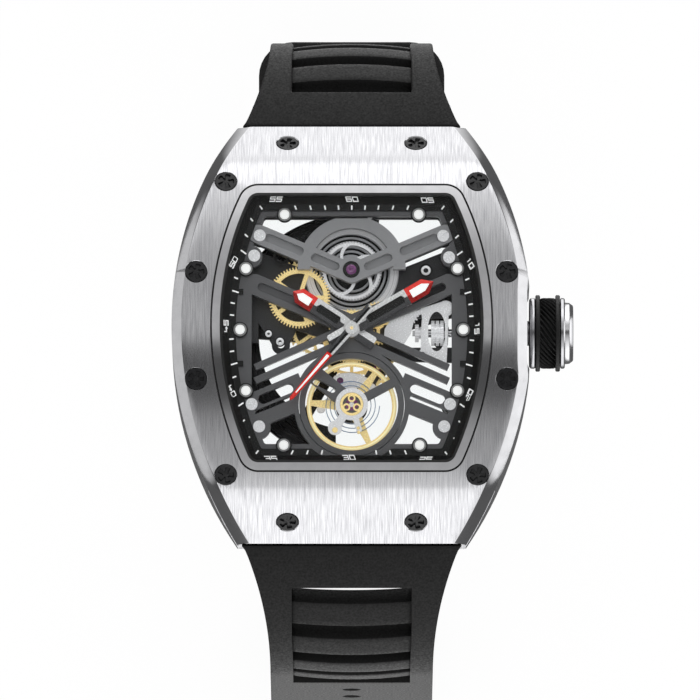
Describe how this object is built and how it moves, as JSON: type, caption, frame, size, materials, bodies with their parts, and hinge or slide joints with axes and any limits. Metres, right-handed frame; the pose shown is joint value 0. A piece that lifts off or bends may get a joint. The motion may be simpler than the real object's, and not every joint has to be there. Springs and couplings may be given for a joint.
{
  "type": "automatic wristwatch",
  "caption": "Barrel-shaped steel wristwatch with an open-worked automatic movement, screwed bezel, ribbed crown and ribbed black rubber strap with a pin buckle.",
  "frame": {"origin": "centre of the case back's outer face", "axes": "+X towards the crown at 3 o'clock, +Y towards 12 o'clock, +Z out of the dial"},
  "size_m": [0.0482, 0.082, 0.0822],
  "materials": {
    "steel_brushed": "brushed steel",
    "steel_polished": "polished steel",
    "steel_dark": "black coated steel",
    "plate_grey": "ruthenium grey plate",
    "bridge_grey": "satin grey bridge",
    "main_dark": "dark grey plate",
    "flange_black": "matt black",
    "lume": "luminous white",
    "sapphire": "clear",
    "seal": "black rubber",
    "strap_rubber": "matt black rubber",
    "grip_rubber": "black rubber",
    "gilt": "gilt brass",
    "spring_steel": "spring steel",
    "blue_spring": "blued alloy",
    "ruby": "synthetic ruby",
    "hand_silver": "faceted steel with a red head",
    "hand_red": "red lacquer",
    "rotor_black": "black coated weight"
  },
  "bodies": {
    "head": {"bezel": "steel_brushed", "inner_rim": "steel_polished", "case_middle": "steel_brushed", "case_back": "steel_brushed", "crystal": "sapphire", "back_crystal": "sapphire", "crystal_gasket": "seal", "back_gasket": "seal", "bezel_screws": "steel_dark", "back_screws": "steel_brushed", "minute_flange": "flange_black", "lume_dots": "lume", "movement_ring": "steel_brushed", "crown_tube": "steel_brushed", "setting_plate": "steel_polished", "strap_pins": "steel_polished", "main_plate": "main_dark", "skeleton_plate": "plate_grey", "barrel_bridge": "bridge_grey", "train_bridge": "main_dark", "bridge_screws": "steel_polished", "jewels": "ruby", "balance_bridge": "plate_grey", "regulator": "steel_polished", "shock_spring": "gilt", "hairspring": "blue_spring", "rotor_bearing": "steel_polished"},
    "minute_work": {"center_wheel": "gilt", "cannon_pinion": "steel_polished", "minute_hand": "hand_silver"},
    "hour_work": {"hour_wheel": "gilt", "hour_hand": "hand_silver"},
    "minute_wheel": {"minute_wheel": "gilt"},
    "setting_wheel": {"setting_wheel": "steel_polished"},
    "seconds_work": {"fourth_wheel": "gilt", "seconds_hand": "hand_red"},
    "third_wheel": {"third_wheel": "gilt"},
    "escape_wheel": {"escape_wheel": "gilt"},
    "barrel": {"barrel_drum": "steel_polished", "mainspring": "spring_steel"},
    "pallet_fork": {"pallet_fork": "steel_polished"},
    "balance": {"balance_wheel": "gilt", "balance_staff": "steel_polished"},
    "rotor": {"rotor": "rotor_black"},
    "reduction_wheel": {"reduction_wheel": "gilt"},
    "ratchet": {"ratchet_wheel": "steel_polished", "barrel_arbor": "steel_polished"},
    "clutch": {"clutch_wheel": "steel_polished"},
    "crown": {"crown": "steel_brushed", "crown_grip": "grip_rubber", "winding_stem": "steel_polished"},
    "crown_wheel": {"crown_wheel": "steel_polished"},
    "setting_lever": {"setting_lever": "steel_polished"},
    "strap_upper": {"strap_upper": "strap_rubber", "buckle_bar": "steel_polished", "fixed_keeper": "strap_rubber"},
    "strap_lower": {"strap_lower": "strap_rubber"},
    "sliding_keeper": {"sliding_keeper": "strap_rubber"},
    "buckle_frame": {"buckle_frame": "steel_brushed"},
    "buckle_tang": {"buckle_tang": "steel_brushed"}
  },
  "joints": [
    {"name": "minute_turn", "type": "hinge", "parent": "head", "child": "minute_work", "pos_m": [0, 0, 0], "axis": [0, 0, 1], "continuous": true},
    {"name": "hour_turn", "type": "hinge", "parent": "head", "child": "hour_work", "pos_m": [0, 0, 0], "axis": [0, 0, 1], "continuous": true},
    {"name": "minute_wheel_turn", "type": "hinge", "parent": "head", "child": "minute_wheel", "pos_m": [0.0032, 0.0011, 0], "axis": [0, 0, 1], "continuous": true},
    {"name": "setting_wheel_turn", "type": "hinge", "parent": "head", "child": "setting_wheel", "pos_m": [0.0068, 0.0022, 0], "axis": [0, 0, 1], "continuous": true},
    {"name": "seconds_turn", "type": "hinge", "parent": "head", "child": "seconds_work", "pos_m": [0, 0, 0], "axis": [0, 0, 1], "continuous": true},
    {"name": "third_wheel_turn", "type": "hinge", "parent": "head", "child": "third_wheel", "pos_m": [-0.0038, 0.0008, 0], "axis": [0, 0, 1], "continuous": true},
    {"name": "escape_wheel_turn", "type": "hinge", "parent": "head", "child": "escape_wheel", "pos_m": [0.0032, -0.0042, 0], "axis": [0, 0, 1], "continuous": true},
    {"name": "barrel_turn", "type": "hinge", "parent": "head", "child": "barrel", "pos_m": [0, 0.00735, 0], "axis": [0, 0, 1], "continuous": true},
    {"name": "pallet_rock", "type": "hinge", "parent": "head", "child": "pallet_fork", "pos_m": [0.0016, -0.0066, 0], "axis": [0, 0, 1], "range_deg": [-5, 5]},
    {"name": "balance_swing", "type": "hinge", "parent": "head", "child": "balance", "pos_m": [0, -0.009, 0], "axis": [0, 0, 1], "range_deg": [-270, 270], "stiffness_Nm_per_rad": 0.0000004},
    {"name": "rotor_turn", "type": "hinge", "parent": "head", "child": "rotor", "pos_m": [0, 0, 0], "axis": [0, 0, 1], "continuous": true},
    {"name": "reduction_turn", "type": "hinge", "parent": "head", "child": "reduction_wheel", "pos_m": [-0.0063, 0.0041, 0], "axis": [0, 0, 1], "continuous": true},
    {"name": "ratchet_turn", "type": "hinge", "parent": "head", "child": "ratchet", "pos_m": [0, 0.00735, 0], "axis": [0, 0, 1], "continuous": true},
    {"name": "crown_turn", "type": "hinge", "parent": "head", "child": "clutch", "pos_m": [0, 0, 0.0066], "axis": [1, 0, 0], "continuous": true},
    {"name": "crown_pull", "type": "slide", "parent": "clutch", "child": "crown", "axis": [1, 0, 0], "range_m": [0, 0.0012]},
    {"name": "crown_wheel_turn", "type": "hinge", "parent": "head", "child": "crown_wheel", "pos_m": [0, 0, 0.0066], "axis": [1, 0, 0], "continuous": true},
    {"name": "setting_lever_swing", "type": "hinge", "parent": "head", "child": "setting_lever", "pos_m": [0.00855, -0.00267, 0], "axis": [0, 0, 1], "range_deg": [-6.05, 0]},
    {"name": "strap_upper_swing", "type": "hinge", "parent": "head", "child": "strap_upper", "pos_m": [0, 0.022, 0.0026], "axis": [-1, 0, 0], "range_deg": [0, 3.5]},
    {"name": "strap_lower_swing", "type": "hinge", "parent": "head", "child": "strap_lower", "pos_m": [0, -0.022, 0.0026], "axis": [1, 0, 0], "range_deg": [0, 3.5]},
    {"name": "keeper_slide", "type": "slide", "parent": "strap_upper", "child": "sliding_keeper", "axis": [0, 0, 1], "range_m": [-0.0055, 0.012]},
    {"name": "buckle_fold", "type": "hinge", "parent": "strap_upper", "child": "buckle_frame", "pos_m": [0, 0.0367, -0.066], "axis": [1, 0, 0], "range_deg": [0, 90]},
    {"name": "tang_lift", "type": "hinge", "parent": "buckle_frame", "child": "buckle_tang", "pos_m": [0, 0.0367, -0.066], "axis": [1, 0, 0], "range_deg": [-30, 0]}
  ],
  "couplings": [
    {"joint": "hour_turn", "follows": "minute_turn", "ratio": 0.083333},
    {"joint": "minute_wheel_turn", "follows": "minute_turn", "ratio": -0.33333},
    {"joint": "setting_wheel_turn", "follows": "minute_turn", "ratio": 0.70588},
    {"joint": "seconds_turn", "follows": "minute_turn", "ratio": 60},
    {"joint": "third_wheel_turn", "follows": "minute_turn", "ratio": -8},
    {"joint": "escape_wheel_turn", "follows": "minute_turn", "ratio": -720},
    {"joint": "barrel_turn", "follows": "minute_turn", "ratio": -0.25714},
    {"joint": "reduction_turn", "follows": "rotor_turn", "ratio": -0.5},
    {"joint": "ratchet_turn", "follows": "rotor_turn", "ratio": 0.5},
    {"joint": "crown_wheel_turn", "follows": "crown_turn", "ratio": 1},
    {"joint": "setting_lever_swing", "follows": "crown_pull", "rad_per_m": -87.266}
  ]
}
